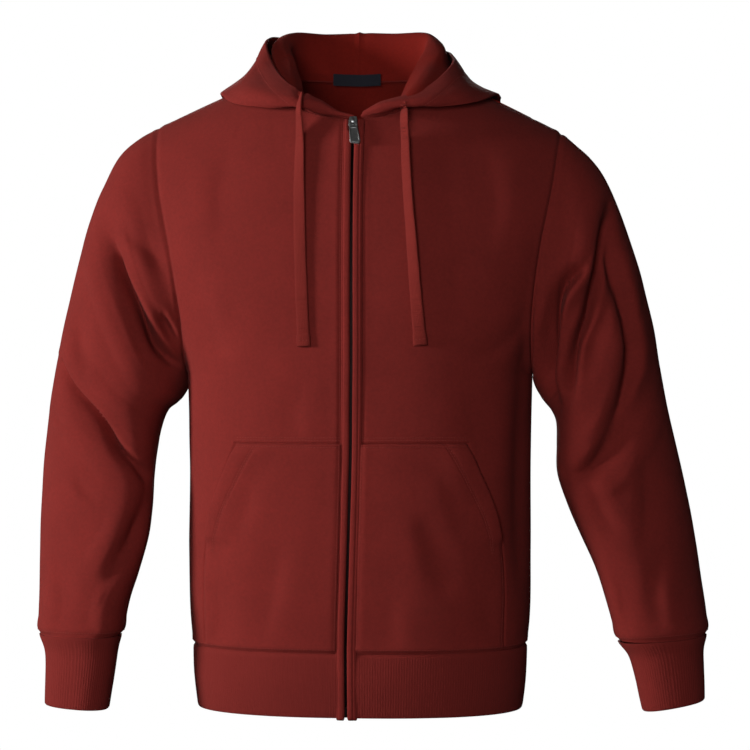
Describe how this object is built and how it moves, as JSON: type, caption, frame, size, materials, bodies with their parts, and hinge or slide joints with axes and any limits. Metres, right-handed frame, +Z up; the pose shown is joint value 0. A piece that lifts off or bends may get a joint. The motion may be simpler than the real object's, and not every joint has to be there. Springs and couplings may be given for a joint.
{
  "type": "zip up hoodie",
  "caption": "Full-zip fleece sweatshirt with the hood down, shown worn and empty, with ribbed cuffs and hem, kangaroo pockets and flat knit drawcords; the zip's pull tab swings.",
  "frame": {"origin": "in the neck opening, level with the shoulders that carry the garment, midway between them", "axes": "+Z up along the body, +X towards the wearer's left side, front towards -Y"},
  "size_m": [0.7455, 0.3004, 0.7658],
  "materials": {
    "fleece": "brushed cotton fleece, dark red, matt with a faint nap and a fine knit face",
    "rib_knit": "ribbed knit, dark red, matt",
    "cord_knit": "flat tubular knit cord, dark red",
    "zip_tape": "woven zip tape, very dark red",
    "zip_teeth": "dark antique metal teeth",
    "zip_metal": "dark gunmetal, slightly worn",
    "label_weave": "woven navy label, bare"
  },
  "bodies": {
    "garment": {"back": "fleece", "cuff_left": "rib_knit", "cuff_right": "rib_knit", "drawcord_left": "cord_knit", "drawcord_right": "cord_knit", "front_left": "fleece", "front_right": "fleece", "hem_rib": "rib_knit", "hood_left": "fleece", "hood_right": "fleece", "neck_label": "label_weave", "placket_left": "fleece", "placket_right": "fleece", "pocket_left": "fleece", "pocket_right": "fleece", "sleeve_left": "fleece", "sleeve_right": "fleece", "slider": "zip_metal", "zip_chain": "zip_teeth", "zip_tape_left": "zip_tape", "zip_tape_right": "zip_tape"},
    "tab": {"pull_tab": "zip_metal"}
  },
  "joints": [
    {"name": "tab_swing", "type": "hinge", "parent": "garment", "child": "tab", "pos_m": [0.00164, -0.09903, -0.05199], "axis": [-1, 0, 0], "range_deg": [0, 140]}
  ]
}
